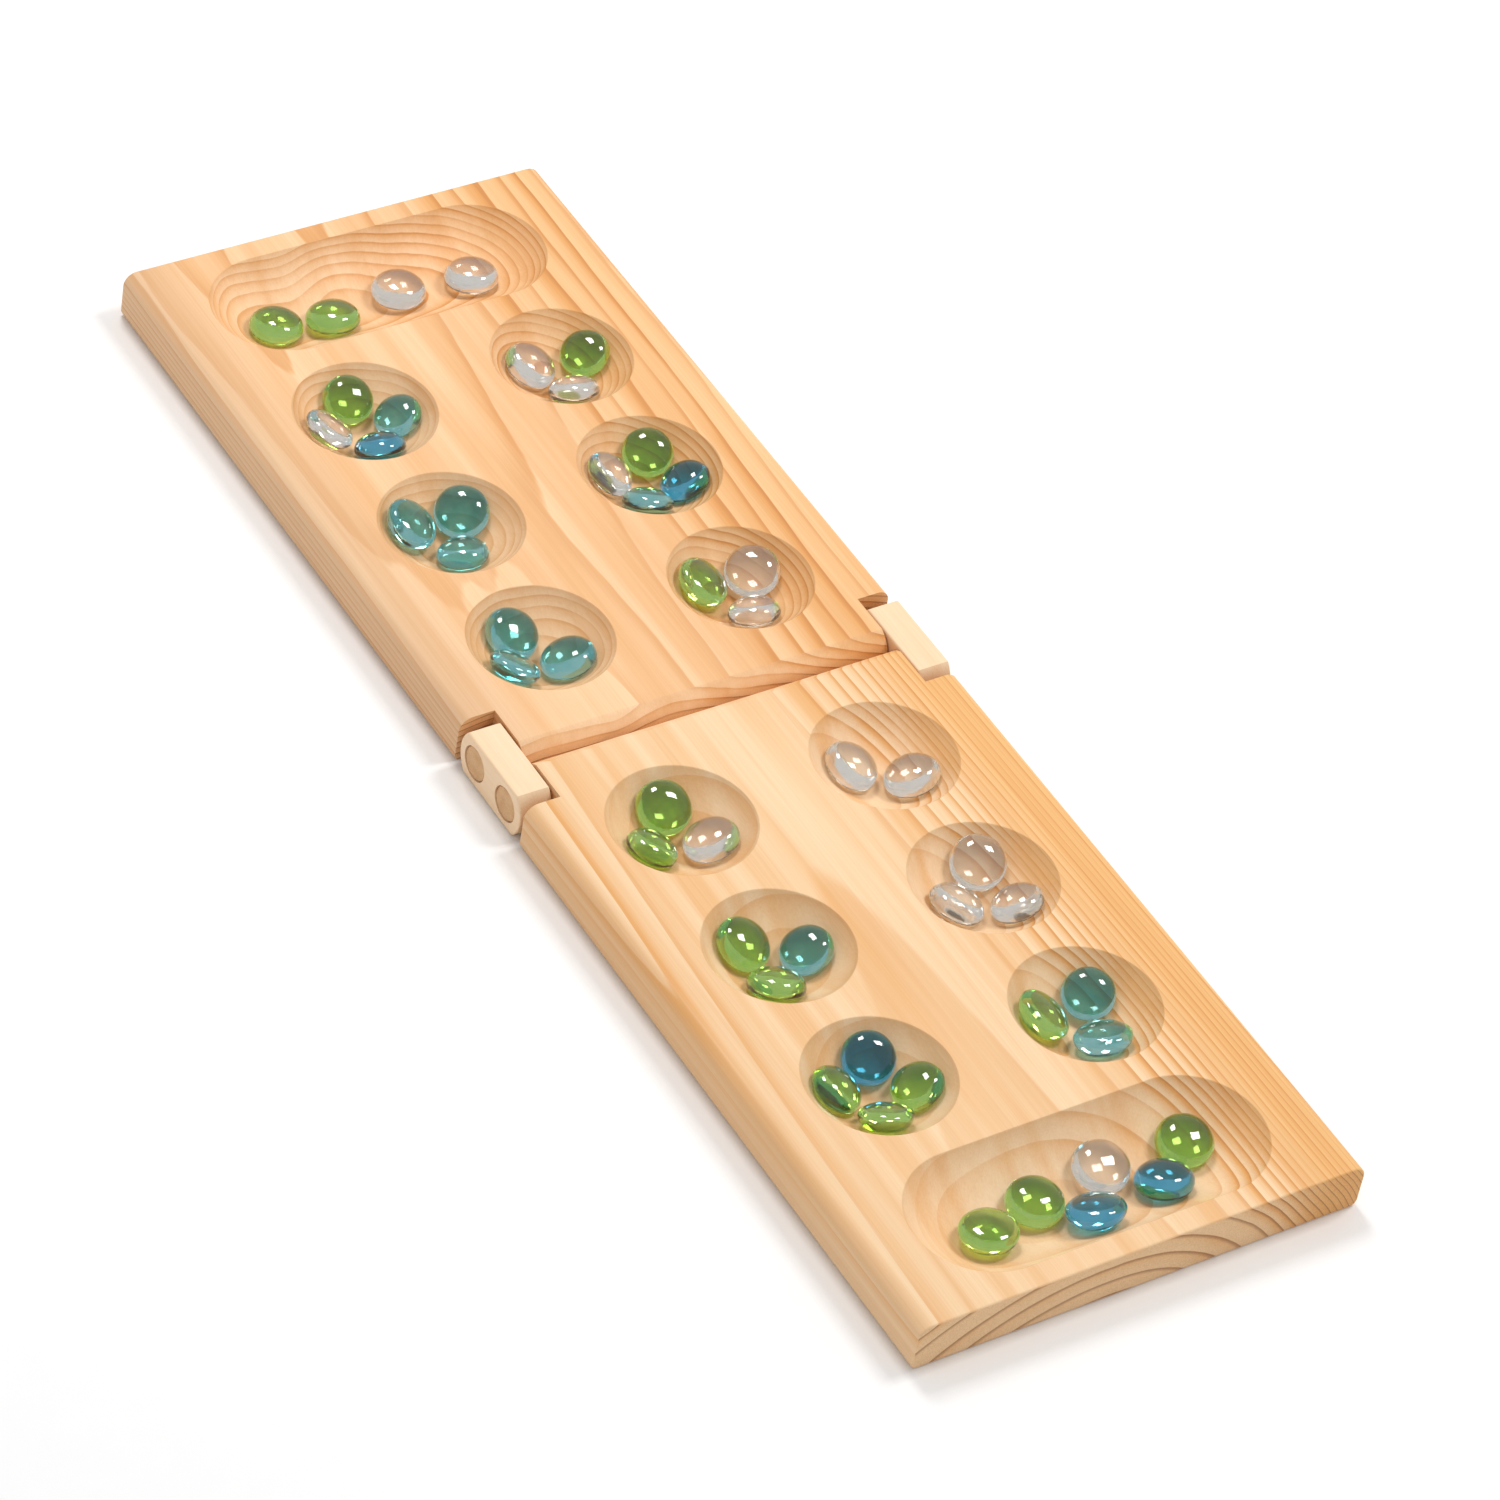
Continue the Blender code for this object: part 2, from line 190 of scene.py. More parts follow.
def boolean(bm, cutter_bm, operation):
    """The solid left by an exact Boolean of one bmesh with another."""
    body_mesh = bpy.data.meshes.new("body")
    cutter_mesh = bpy.data.meshes.new("cutter")
    bm.to_mesh(body_mesh)
    cutter_bm.to_mesh(cutter_mesh)
    bm.free()
    cutter_bm.free()
    body = new_object("body", body_mesh)
    cutter = new_object("cutter", cutter_mesh)
    modifier = body.modifiers.new("cut", "BOOLEAN")
    modifier.operation = operation
    modifier.solver = "EXACT"
    modifier.object = cutter
    graph = bpy.context.evaluated_depsgraph_get()
    result = bpy.data.meshes.new_from_object(body.evaluated_get(graph))
    out = bmesh.new()
    out.from_mesh(result)
    for obj in (body, cutter):
        bpy.data.objects.remove(obj, do_unlink=True)
    for mesh in (body_mesh, cutter_mesh, result):
        bpy.data.meshes.remove(mesh)
    return out


# ---------------------------------------------------------------------------------- halves


def section(inset):
    """A half's cross-section in Y and Z, drawn in all round by the inset."""
    corners = (
        (1, -1, -90, BOTTOM_EDGE_RADIUS),
        (1, 1, 0, TOP_EDGE_RADIUS),
        (-1, 1, 90, TOP_EDGE_RADIUS),
        (-1, -1, 180, BOTTOM_EDGE_RADIUS),
    )
    points = []
    for side_y, side_z, start, radius in corners:
        centre = (side_y * (BOARD_WIDTH / 2 - radius), side_z * (THICKNESS / 2 - radius))
        points += arc(centre, radius - inset, start, start + 90, SECTION_STEPS)
    return points


def slab(thickness, reach):
    """An outline in X and Z from a dowel's axis: a nose with eased edges, then a straight run."""
    ease = NOSE_EDGE_ROUNDING
    top = thickness / 2
    centre_z = top - ease
    centre_x = -math.sqrt((NOSE_RADIUS - ease) ** 2 - centre_z**2)
    edge_turn = math.degrees(math.atan2(centre_z, centre_x))
    upper = arc((centre_x, centre_z), ease, 90, edge_turn, EASE_STEPS)
    nose = arc((0, 0), NOSE_RADIUS, edge_turn, 360 - edge_turn, NOSE_STEPS)
    lower = arc((centre_x, -centre_z), ease, 360 - edge_turn, 270, EASE_STEPS)
    return upper[:-1] + nose + lower[1:] + [(reach, -top), (reach, top)]


def prism(outline, half_width):
    """An outline in X and Z drawn out along Y to both sides."""
    return loft([[(x, y, z) for x, z in outline] for y in (-half_width, half_width)])


def bowl_profile():
    """(distance from the axis, height above the top) from the floor to the eased rim and above."""
    radius = (PIT_RADIUS**2 + PIT_DEPTH**2) / (2 * PIT_DEPTH)
    centre = radius - PIT_DEPTH
    rim_x = math.sqrt((radius + RIM_ROUNDING) ** 2 - (centre + RIM_ROUNDING) ** 2)
    meet = math.degrees(math.atan2(rim_x, centre + RIM_ROUNDING))
    turns = [math.radians(meet * i / BOWL_RINGS) for i in range(BOWL_RINGS + 1)]
    profile = [(radius * math.sin(t), centre - radius * math.cos(t)) for t in turns]
    rim = arc((rim_x, -RIM_ROUNDING + FLUSH_GAP), RIM_ROUNDING, 90 + meet, 90, RIM_STEPS)
    return profile[:-1] + rim + [(rim_x, CUT_MARGIN)]


def bowl_cutter(straight):
    """A bowl drawn out along Y by the straight length, with its rim at z = 0."""
    profile = bowl_profile()
    rings = []
    for radius, height in profile[1:]:
        ring = []
        for edge in (1, -1):
            for i in range(BOWL_STEPS // 2 + 1):
                turn = math.pi * (i / (BOWL_STEPS // 2)) + (0 if edge > 0 else math.pi)
                x = radius * math.cos(turn)
                ring.append((x, radius * math.sin(turn) + edge * straight / 2, height))
        rings.append(ring)
    bm = loft(rings)
    bmesh.ops.remove_doubles(bm, verts=bm.verts, dist=MERGE_DISTANCE)
    return bm


def rod(radius, low_y, high_y, chamfer=0.0):
    """A rod along Y about its own axis."""
    stations = [(low_y, radius), (high_y, radius)]
    if chamfer:
        stations = [
            (low_y, radius - chamfer),
            (low_y + chamfer, radius),
            (high_y - chamfer, radius),
            (high_y, radius - chamfer),
        ]
    rings = []
    for y, r in stations:
        turns = [2 * math.pi * i / DOWEL_STEPS for i in range(DOWEL_STEPS)]
        rings.append([(r * math.cos(t), y, r * math.sin(t)) for t in turns])
    return loft(rings)


def block(low, high):
    """A box between two corners."""
    corners = ((low[0], low[1]), (high[0], low[1]), (high[0], high[1]), (low[0], high[1]))
    return loft([[(x, y, z) for x, y in corners] for z in (low[2], high[2])])


def half_body():
    """One half as it lies towards +X, about the middle of the hinge at half its thickness."""
    start = DOWEL_X - NOSE_RADIUS - CUT_MARGIN
    rings = [[(start, y, z) for y, z in section(0.0)]]
    for i in range(EASE_STEPS + 1):
        turn = math.radians(90 * i / EASE_STEPS)
        inset = END_ROUNDING * (1 - math.cos(turn))
        x = HALF_END - END_ROUNDING + END_ROUNDING * math.sin(turn)
        rings.append([(x, y, z) for y, z in section(inset)])
    body = loft(rings)
    nose = prism(slab(THICKNESS, HALF_END + CUT_MARGIN), BOARD_WIDTH / 2 + CUT_MARGIN)
    nose.transform(Matrix.Translation((DOWEL_X, 0, 0)))
    return boolean(body, nose, "INTERSECT")


def half_cutters():
    """The pits and the store, the hinge notches, and the dowel bores, as two cutters."""
    top = THICKNESS / 2
    inner_y = min(abs(LINK_LOW.y), abs(LINK_HIGH.y)) - LINK_GAP
    outer_y = BOARD_WIDTH / 2 + CUT_MARGIN
    cuts = []
    for number in range(PITS_PER_COLUMN):
        x = FIRST_PIT_X + PIT_PITCH * number
        for edge in (-1, 1):
            cuts.append((bowl_cutter(0.0), Matrix.Translation((x, edge * COLUMN_Y, top))))
    store_x = FIRST_PIT_X + PIT_PITCH * PITS_PER_COLUMN
    cuts.append((bowl_cutter(2 * COLUMN_Y), Matrix.Translation((store_x, 0, top))))
    near_x = DOWEL_X - NOSE_RADIUS - CUT_MARGIN
    low = Vector((near_x, inner_y, -outer_y))
    high = Vector((DOWEL_X + NOTCH_REACH, outer_y, outer_y))
    cuts.append((block(low, high), Matrix()))
    cuts.append((block((low.x, -high.y, low.z), (high.x, -low.y, high.z)), Matrix()))
    dowel_low, dowel_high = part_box("near_dowel_left")
    radius = (dowel_high.z - dowel_low.z) / 2 + BORE_CLEARANCE
    bore_end = min(abs(dowel_low.y), abs(dowel_high.y)) - BORE_CLEARANCE
    bores = []
    for edge in (-1, 1):
        ends = sorted((edge * bore_end, edge * outer_y))
        bores.append((rod(radius, *ends), Matrix.Translation((DOWEL_X, 0, 0))))
    return join_all(cuts), join_all(bores)


def build_half(name, outward):
    body = half_body()
    for cutter in half_cutters():
        body = boolean(body, cutter, "DIFFERENCE")
    turn = Matrix() if outward > 0 else Matrix.Rotation(math.pi, 4, "Z")
    body.transform(Matrix.Translation((0, 0, DOWEL_Z)) @ turn)
    return new_object(name, smooth_mesh(name, body))


# ---------------------------------------------------------------------------------- hinge


def build_link(name, node):
    """A link with eased edges and two bores."""
    low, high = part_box(node)
    ease = LINK_ROUNDING
    rings = []
    half_width = (high.y - low.y) / 2
    for side in (-1, 1):
        turns = [90 * i / EASE_STEPS for i in range(EASE_STEPS + 1)]
        if side > 0:
            turns.reverse()
        for turn in turns:
            inset = ease * (1 - math.sin(math.radians(turn)))
            y = side * (half_width - ease + ease * math.cos(math.radians(turn)))
            radius = LINK_NOSE_RADIUS - inset
            top = LINK_THICKNESS / 2 - inset
            half_turn = math.degrees(math.asin(top / radius))
            far = arc((-LINK_NOSE_X, 0), radius, 180 - half_turn, 180 + half_turn, NOSE_STEPS)
            near = arc((LINK_NOSE_X, 0), radius, -half_turn, half_turn, NOSE_STEPS)
            rings.append([(x, y, z) for x, z in far + near])
    body = loft(rings)
    dowel_low, dowel_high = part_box("near_dowel_left")
    radius = (dowel_high.z - dowel_low.z) / 2 + BORE_CLEARANCE
    reach = half_width + CUT_MARGIN
    places = [Matrix.Translation((x, 0, 0)) for x in (-DOWEL_X, DOWEL_X)]
    bores = join_all([(rod(radius, -reach, reach), place) for place in places])
    body = boolean(body, bores, "DIFFERENCE")
    body.transform(Matrix.Translation((0, (low.y + high.y) / 2, DOWEL_Z)))
    return new_object(name, smooth_mesh(name, body))


def build_dowel(name, node):
    low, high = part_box(node)
    radius = (high.z - low.z) / 2
    body = rod(radius, low.y, high.y, DOWEL_CHAMFER)
    body.transform(Matrix.Translation(((low.x + high.x) / 2, 0, DOWEL_Z)))
    return new_object(name, smooth_mesh(name, body))


# ---------------------------------------------------------------------------------- stones


def stone_facts(node):
    """A CAD stone's centre, axis, radius, and its heights above and below its widest ring."""
    vertices = frame["nodes"][node].data.vertices
    points = np.unique(np.array([v.co for v in vertices]).round(POINT_DIGITS), axis=0)
    middle = points.mean(axis=0)
    axis = np.linalg.eigh(np.cov((points - middle).T))[1][:, 0]
    axis = axis if axis[2] > 0 else -axis
    along = (points - middle) @ axis
    across = np.linalg.norm((points - middle) - np.outer(along, axis), axis=1)
    widest = along[across > across.max() - WIDEST_MARGIN].mean()
    return {
        "centre": Vector(middle + widest * axis),
        "axis": Vector(axis),
        "radius": float(across.max()),
        "above": float(along.max() - widest),
        "below": float(widest - along.min()),
    }


def build_stone(name, node, rng):
    """A pressed glass pebble, slightly uneven, inside its CAD shape."""
    facts = stone_facts(node)
    phases = rng.uniform(0, 2 * math.pi, LUMP_COUNT)
    depths = rng.uniform(LEAST_LUMP, 1.0, LUMP_COUNT) * STONE_LUMPS
    spin = rng.uniform(0, 2 * math.pi)
    rings = []
    for i in range(1, STONE_RINGS):
        turn = math.pi * i / STONE_RINGS
        height = facts["above"] if turn < math.pi / 2 else facts["below"]
        ring = []
        for j in range(STONE_STEPS):
            around = 2 * math.pi * j / STONE_STEPS
            lump = 0.0
            for k, (depth, phase) in enumerate(zip(depths, phases)):
                wave = math.cos((k + 2) * around + phase + LUMP_TWIST * k * math.cos(turn))
                lump += depth * (0.5 + 0.5 * wave)
            radius = facts["radius"] * math.sin(turn) ** STONE_ROUNDNESS * (1 - lump)
            place = (radius * math.cos(around), radius * math.sin(around), height * math.cos(turn))
            ring.append(place)
        rings.append(ring)
    bm = loft(rings, closed_ends=False)
    bm.verts.ensure_lookup_table()
    count = STONE_STEPS
    for start, z in ((0, facts["above"]), ((STONE_RINGS - 2) * count, -facts["below"])):
        pole = bm.verts.new((0, 0, z))
        bm.verts.ensure_lookup_table()
        for j in range(count):
            bm.faces.new((pole, bm.verts[start + j], bm.verts[start + (j + 1) % count]))
    lean = facts["axis"].to_track_quat("Z", "Y").to_matrix().to_4x4()
    bm.transform(Matrix.Translation(facts["centre"]) @ lean @ Matrix.Rotation(spin, 4, "Z"))
    return new_object(name, smooth_mesh(name, bm, smooth_angle=180))


# ---------------------------------------------------------------------------------- materials


class Graph:
    """A material's nodes, laid out by short calls. A value may be a number or another node's output."""

    def __init__(self, name):
        self.material = bpy.data.materials.new(name)
        self.material.use_nodes = True
        self.tree = self.material.node_tree
        self.shader = self.tree.nodes["Principled BSDF"]
        coordinates = self.tree.nodes.new("ShaderNodeTexCoord")
        self.place = self.scaled(coordinates.outputs["Object"], (MM_PER_M, MM_PER_M, MM_PER_M))
        self.normal = coordinates.outputs["Normal"]

    def put(self, socket, value):
        if isinstance(value, bpy.types.NodeSocket):
            self.tree.links.new(value, socket)
        else:
            socket.default_value = value

    def maths(self, operation, a, b=0.0, c=0.0, clamp=False):
        node = self.tree.nodes.new("ShaderNodeMath")
        node.operation = operation
        node.use_clamp = clamp
        for socket, value in zip(node.inputs, (a, b, c)):
            self.put(socket, value)
        return node.outputs[0]

    def scaled(self, vector, factors):
        node = self.tree.nodes.new("ShaderNodeVectorMath")
        node.operation = "MULTIPLY"
        self.put(node.inputs[0], vector)
        node.inputs[1].default_value = factors
        return node.outputs[0]

    def moved(self, vector, offset):
        node = self.tree.nodes.new("ShaderNodeVectorMath")
        node.operation = "ADD"
        self.put(node.inputs[0], vector)
        node.inputs[1].default_value = offset
        return node.outputs[0]

    def split(self, vector):
        node = self.tree.nodes.new("ShaderNodeSeparateXYZ")
        self.put(node.inputs[0], vector)
        return node.outputs

    def noise(self, sizes, detail=2.0, roughness=0.5, offset=(0, 0, 0)):
        """Noise from 0 to 1 whose grains are as long as the sizes, in millimetres."""
        node = self.tree.nodes.new("ShaderNodeTexNoise")
        node.inputs["Scale"].default_value = 1.0
        node.inputs["Detail"].default_value = detail
        node.inputs["Roughness"].default_value = roughness
        vector = self.scaled(self.place, [1 / size for size in sizes])
        self.put(node.inputs["Vector"], self.moved(vector, offset))
        return node.outputs["Fac"]

    def ramp(self, value, stops):
        """A colour ramp through (position, colour) stops. A colour may be one grey number."""
        node = self.tree.nodes.new("ShaderNodeValToRGB")
        ramp = node.color_ramp
        while len(ramp.elements) < len(stops):
            ramp.elements.new(0.5)
        for element, (position, colour) in zip(ramp.elements, stops):
            element.position = position
            grey = not hasattr(colour, "__len__")
            element.color = (colour, colour, colour, 1) if grey else (*colour, 1)
        self.put(node.inputs[0], value)
        return node.outputs[0]

    def mix(self, factor, a, b, blend="MIX"):
        node = self.tree.nodes.new("ShaderNodeMix")
        node.data_type = "RGBA"
        node.blend_type = blend
        node.clamp_factor = True
        self.put(node.inputs[0], factor)
        for socket, value in ((node.inputs[6], a), (node.inputs[7], b)):
            whole = (*value, 1) if hasattr(value, "__len__") and len(value) == 3 else value
            self.put(socket, whole)
        return node.outputs[2]

    def tinted(self, colour, noise, span, tint):
        """The colour, multiplied by a tint where the noise is high."""
        low, high = span
        return self.mix(self.ramp(noise, ((low, 0.0), (high, 1.0))), colour, tint, "MULTIPLY")

    def bump(self, height, strength, distance):
        node = self.tree.nodes.new("ShaderNodeBump")
        node.inputs["Strength"].default_value = strength
        node.inputs["Distance"].default_value = distance
        self.put(node.inputs["Height"], height)
        return node.outputs[0]

    def smoothstep(self, value, low, high):
        node = self.tree.nodes.new("ShaderNodeMapRange")
        node.interpolation_type = "SMOOTHSTEP"
        self.put(node.inputs["Value"], value)
        node.inputs["From Min"].default_value = low
        node.inputs["From Max"].default_value = high
        return node.outputs["Result"]

    def rising(self, value, least):
        """From the least, where the value is 0, to 1, where it is 1."""
        return self.maths("MULTIPLY_ADD", value, 1 - least, least)

    def white(self, value):
        """A random number from 0 to 1 for each value."""
        node = self.tree.nodes.new("ShaderNodeTexWhiteNoise")
        node.noise_dimensions = "1D"
        self.put(node.inputs["W"], value)
        return node.outputs["Value"]


def linear(red, green, blue):
    """A colour given as it looks on a screen, 0 to 255, turned to linear light by the sRGB curve."""
    parts = [c / 255 for c in (red, green, blue)]
    return tuple(c / 12.92 if c <= 0.04045 else ((c + 0.055) / 1.055) ** 2.4 for c in parts)


def ring_number(g, field):
    """Which growth ring a point is in, and how far through it: rings about a line nearly along X.

    The rings close up as they grow. Left of the line they are stretched, and a crown lifts or sinks
    them just above it.
    """
    x, y, z = g.split(g.place)
    slow = g.maths("SUBTRACT", g.noise(field["slow_sizes"], detail=1.0, offset=field["offset"]), 0.5)
    quick = g.maths("SUBTRACT", g.noise(field["quick_sizes"], offset=field["offset"]), 0.5)
    run = g.maths("SUBTRACT", x, field["pith_x"])
    up = g.maths("MULTIPLY_ADD", run, field["pith_rise"], field["pith_depth"] - THICKNESS_MM)
    up = g.maths("ADD", up, z)
    out = g.maths("SUBTRACT", y, field["pith_y"])
    left = g.maths("MINIMUM", out, 0.0)
    out = g.maths("MULTIPLY_ADD", left, field["left_share"] - 1, out)
    squares = g.maths("ADD", g.maths("MULTIPLY", up, up), g.maths("MULTIPLY", out, out))
    radius = g.maths("SQRT", squares)
    radius = g.maths("MULTIPLY_ADD", slow, field["slow_waver"], radius)
    radius = g.maths("MULTIPLY_ADD", quick, field["quick_waver"], radius)
    share = g.maths("DIVIDE", out, field["crown_width"])
    crown = g.maths("EXPONENT", g.maths("MULTIPLY", g.maths("MULTIPLY", share, share), -1.0))
    radius = g.maths("MULTIPLY_ADD", crown, -field["crown_height"], radius)
    past = g.maths("SUBTRACT", radius, field["first_radius"])
    outer = g.maths("MAXIMUM", past, 0.0)
    inner = g.maths("MINIMUM", past, 0.0)
    number = g.maths("MULTIPLY", past, field["rate"])
    number = g.maths("MULTIPLY_ADD", g.maths("MULTIPLY", outer, outer), field["quickening"], number)
    return g.maths("MULTIPLY_ADD", inner, field["inner_rate"], number)


def ring_marks(g, field, tones):
    """How far late wood's soft band and its dark line show at a point, and the line on end grain."""
    y = g.split(g.place)[1]
    number = ring_number(g, field)
    through = g.maths("FRACT", number)
    which = g.white(g.maths("ADD", g.maths("FLOOR", number), field["seed"]))
    side = g.smoothstep(y, *tones["strong_from"])
    spread = tones["ring_variation"]
    strength = g.rising(side, tones["weak"])
    strength = g.maths("MULTIPLY", strength, g.maths("MULTIPLY_ADD", which, spread, 1 - spread / 2))
    fading = g.noise(FADING_SIZES, offset=field["offset"])
    strength = g.maths("MULTIPLY", strength, g.ramp(fading, FADING_STOPS))
    started = g.rising(g.smoothstep(number, 0.0, FIRST_RINGS), tones["first"])
    strength = g.maths("MULTIPLY", strength, started)
    band = g.ramp(through, BAND_STOPS)
    line = g.ramp(through, LINE_STOPS)
    fine_line = g.maths("MULTIPLY", line, g.rising(side, tones["line_weak"]))
    banding = g.maths("MULTIPLY", strength, tones["band_strength"])
    lining = g.maths("MULTIPLY", strength, tones["line_strength"])
    banded = g.maths("MULTIPLY", band, banding, clamp=True)
    lined = g.maths("MULTIPLY", fine_line, lining, clamp=True)
    end_lined = g.maths("MULTIPLY", line, tones["end_line_strength"], clamp=True)
    return banded, lined, end_lined


def early_wood(g, field, tones):
    """The pale wood between the rings' dark lines: warmer to the right, in slow patches."""
    y = g.split(g.place)[1]
    base = g.mix(g.smoothstep(y, *tones["warm_from"]), tones["early"], tones["warm"])
    patches = g.noise(PATCH_SIZES, offset=field["offset"])
    return g.tinted(base, patches, PATCH_RANGE, tones["patch"])


def face_colour(g, field, tones, base, banded, lined):
    """Wood cut along its fibres, with painted light that makes the hollows lighter, and duller at the left edge.
    """
    _, y, z = g.split(g.place)
    upright = g.split(g.normal)[2]
    wide = g.noise(WIDE_SIZES, detail=1.5, offset=field["offset"])
    wide = g.maths("MULTIPLY", g.ramp(wide, WIDE_STOPS), tones["wide_strength"])
    colour = g.mix(banded, g.mix(wide, base, tones["late"]), tones["late"])
    colour = g.mix(lined, colour, tones["line"])
    # Painted light: the hollows' floors and gentle walls are multiplied by a colour above 1, so they come out
    # lighter and a little bluer
    depth = g.maths("SUBTRACT", THICKNESS_MM, z)
    sunk = g.smoothstep(depth, *HOLLOW_DEPTHS)
    hollow_painted_light = g.maths("MULTIPLY", sunk, g.smoothstep(upright, *HOLLOW_SLOPES))
    colour = g.mix(hollow_painted_light, colour, HOLLOW_PAINTED_LIGHT, "MULTIPLY")
    leftward = g.smoothstep(g.maths("MULTIPLY", y, -1.0), *LEFT_EDGE)
    leftward = g.maths("MULTIPLY", leftward, tones["left_shade"])
    return g.mix(leftward, colour, LEFT_SHADE, "MULTIPLY")


def end_grain_colour(g, tones, base, banded, end_lined, pores):
    """Wood cut across its fibres: darker lines and open pores."""
    colour = g.mix(end_lined, g.mix(banded, base, tones["late"]), tones["end_line"])
    colour = g.mix(1.0, colour, tones["end"], "MULTIPLY")
    return g.tinted(colour, pores, PORE_RANGE, tones["pore"])


def pine(name, field, tones):
    """Sanded pine: growth rings, fine fibres along X, and duller, darker end grain."""
    g = Graph(name)
    banded, lined, end_lined = ring_marks(g, field, tones)
    base = early_wood(g, field, tones)
    colour = face_colour(g, field, tones, base, banded, lined)
    fibres = g.noise(PINE_FIBRE_SIZES, detail=3.0, roughness=0.6, offset=field["offset"])
    streaks = g.noise(STREAK_SIZES, detail=3.0, roughness=0.6, offset=field["offset"])
    colour = g.tinted(colour, fibres, FIBRE_RANGE, tones["fibre"])
    colour = g.tinted(colour, streaks, STREAK_RANGE, tones["streak"])
    pores = g.noise(PINE_PORE_SIZES, roughness=0.6, offset=field["offset"])
    end_colour = end_grain_colour(g, tones, base, banded, end_lined, pores)
    end = g.smoothstep(g.maths("ABSOLUTE", g.split(g.normal)[0]), *PINE_END_TURN)
    g.put(g.shader.inputs["Base Color"], g.mix(end, colour, end_colour))

    rough = g.maths("MULTIPLY_ADD", fibres, PINE_ROUGH["fibres"], PINE_ROUGH["least"])
    rough = g.maths("MULTIPLY_ADD", banded, PINE_ROUGH["bands"], rough)
    rough = g.maths("MULTIPLY_ADD", end, PINE_ROUGH["end"], rough)
    g.put(g.shader.inputs["Roughness"], rough)
    height = g.maths("MULTIPLY_ADD", banded, PINE_RELIEF["bands"], fibres)
    height = g.maths("MULTIPLY_ADD", g.maths("MULTIPLY", pores, end), PINE_RELIEF["pores"], height)
    g.put(g.shader.inputs["Normal"], g.bump(height, *PINE_RELIEF["bump"]))
    g.shader.inputs["Specular IOR Level"].default_value = WOOD_SPECULAR
    return g.material


def along_axis(sizes, axis):
    """A mark's length turned to lie along an axis, with its width across."""
    length, width = sizes
    return [length if i == axis else width for i in range(3)]


def plain_wood(name, tones, along):
    """Pale, fine-grained wood with fibres along one axis, and end grain where it is cut across."""
    g = Graph(name)
    fibres = g.noise(along_axis(PLAIN_FIBRE_SIZES, along), detail=3.0, roughness=0.6)
    bands = g.noise(along_axis(PLAIN_BAND_SIZES, along))
    colour = g.mix(g.ramp(bands, PLAIN_BAND_STOPS), tones["base"], tones["band"])
    colour = g.tinted(colour, fibres, FIBRE_RANGE, tones["fibre"])
    end = g.smoothstep(g.maths("ABSOLUTE", g.split(g.normal)[along]), *PLAIN_END_TURN)
    pores = g.noise(PLAIN_PORE_SIZES, roughness=0.6)
    end_colour = g.mix(1.0, colour, tones["end"], "MULTIPLY")
    end_colour = g.tinted(end_colour, pores, PORE_RANGE, tones["pore"])
    g.put(g.shader.inputs["Base Color"], g.mix(end, colour, end_colour))
    g.put(g.shader.inputs["Roughness"], g.maths("MULTIPLY_ADD", fibres, *PLAIN_ROUGH))
    g.put(g.shader.inputs["Normal"], g.bump(g.maths("ADD", fibres, pores), *PLAIN_BUMP))
    g.shader.inputs["Specular IOR Level"].default_value = WOOD_SPECULAR
    return g.material


def glass(name, deep, pale, pearl):
    """Pressed coloured glass with faint swirls and a slightly uneven surface."""
    g = Graph(name)
    swirl = g.noise(SWIRL_SIZES)
    ripple = g.noise(RIPPLE_SIZES)
    g.put(g.shader.inputs["Base Color"], g.mix(g.ramp(swirl, SWIRL_STOPS), deep, pale))
    g.put(g.shader.inputs["Roughness"], g.maths("MULTIPLY", ripple, RIPPLE_ROUGHNESS))
    height = g.maths("MULTIPLY_ADD", ripple, RIPPLE_HEIGHT, swirl)
    g.put(g.shader.inputs["Normal"], g.bump(height, *GLASS_BUMP))
    g.shader.inputs["Transmission Weight"].default_value = 1.0 - pearl
    g.shader.inputs["IOR"].default_value = GLASS_IOR
    g.shader.inputs["Specular IOR Level"].default_value = 1.0
    g.shader.inputs["Coat Weight"].default_value = GLASS_COAT
    g.shader.inputs["Coat Roughness"].default_value = COAT_ROUGHNESS
    return g.material


# Late wood through one ring, from the ring before to the ring after
BAND_STOPS = ((0.0, 0.0), (0.22, 0.06), (0.60, 0.50), (0.88, 1.0), (0.97, 1.0), (1.0, 0.0))
LINE_STOPS = ((0.0, 0.0), (0.74, 0.0), (0.90, 0.8), (0.955, 1.0), (0.995, 0.0))

# The number of rings over which the first ones strengthen
FIRST_RINGS = 1.3

# How strongly a mark shows at each noise value
FADING_STOPS = ((0.34, 0.5), (0.60, 1.0))
WIDE_STOPS = ((0.47, 0.0), (0.66, 1.0))
PLAIN_BAND_STOPS = ((0.35, 0.0), (0.70, 1.0))

# How long, wide and high the wood's marks are, in millimetres
FADING_SIZES = (130.0, 11.0, 11.0)
PATCH_SIZES = (90.0, 40.0, 40.0)
WIDE_SIZES = (320.0, 7.5, 40.0)
PINE_FIBRE_SIZES = (55.0, 0.45, 0.45)
STREAK_SIZES = (160.0, 3.2, 3.2)
PINE_PORE_SIZES = (0.9, 0.28, 0.28)
PLAIN_PORE_SIZES = (0.3, 0.3, 0.3)

# The plain woods' marks: length along the fibres and width across them, in millimetres
PLAIN_FIBRE_SIZES = (30.0, 0.5)
PLAIN_BAND_SIZES = (60.0, 4.0)

# Between which noise values each mark comes in
PATCH_RANGE = (0.38, 0.68)
FIBRE_RANGE = (0.36, 0.70)
STREAK_RANGE = (0.38, 0.72)
PORE_RANGE = (0.42, 0.62)

# Between which shares of the surface's direction end grain comes in
PINE_END_TURN = (0.80, 0.98)
PLAIN_END_TURN = (0.60, 0.98)

# Where painted light brightens the hollows, by depth in millimetres and slope, and the left edge by millimetres
# from the middle
HOLLOW_DEPTHS = (0.2, 1.5)
HOLLOW_SLOPES = (0.42, 0.60)
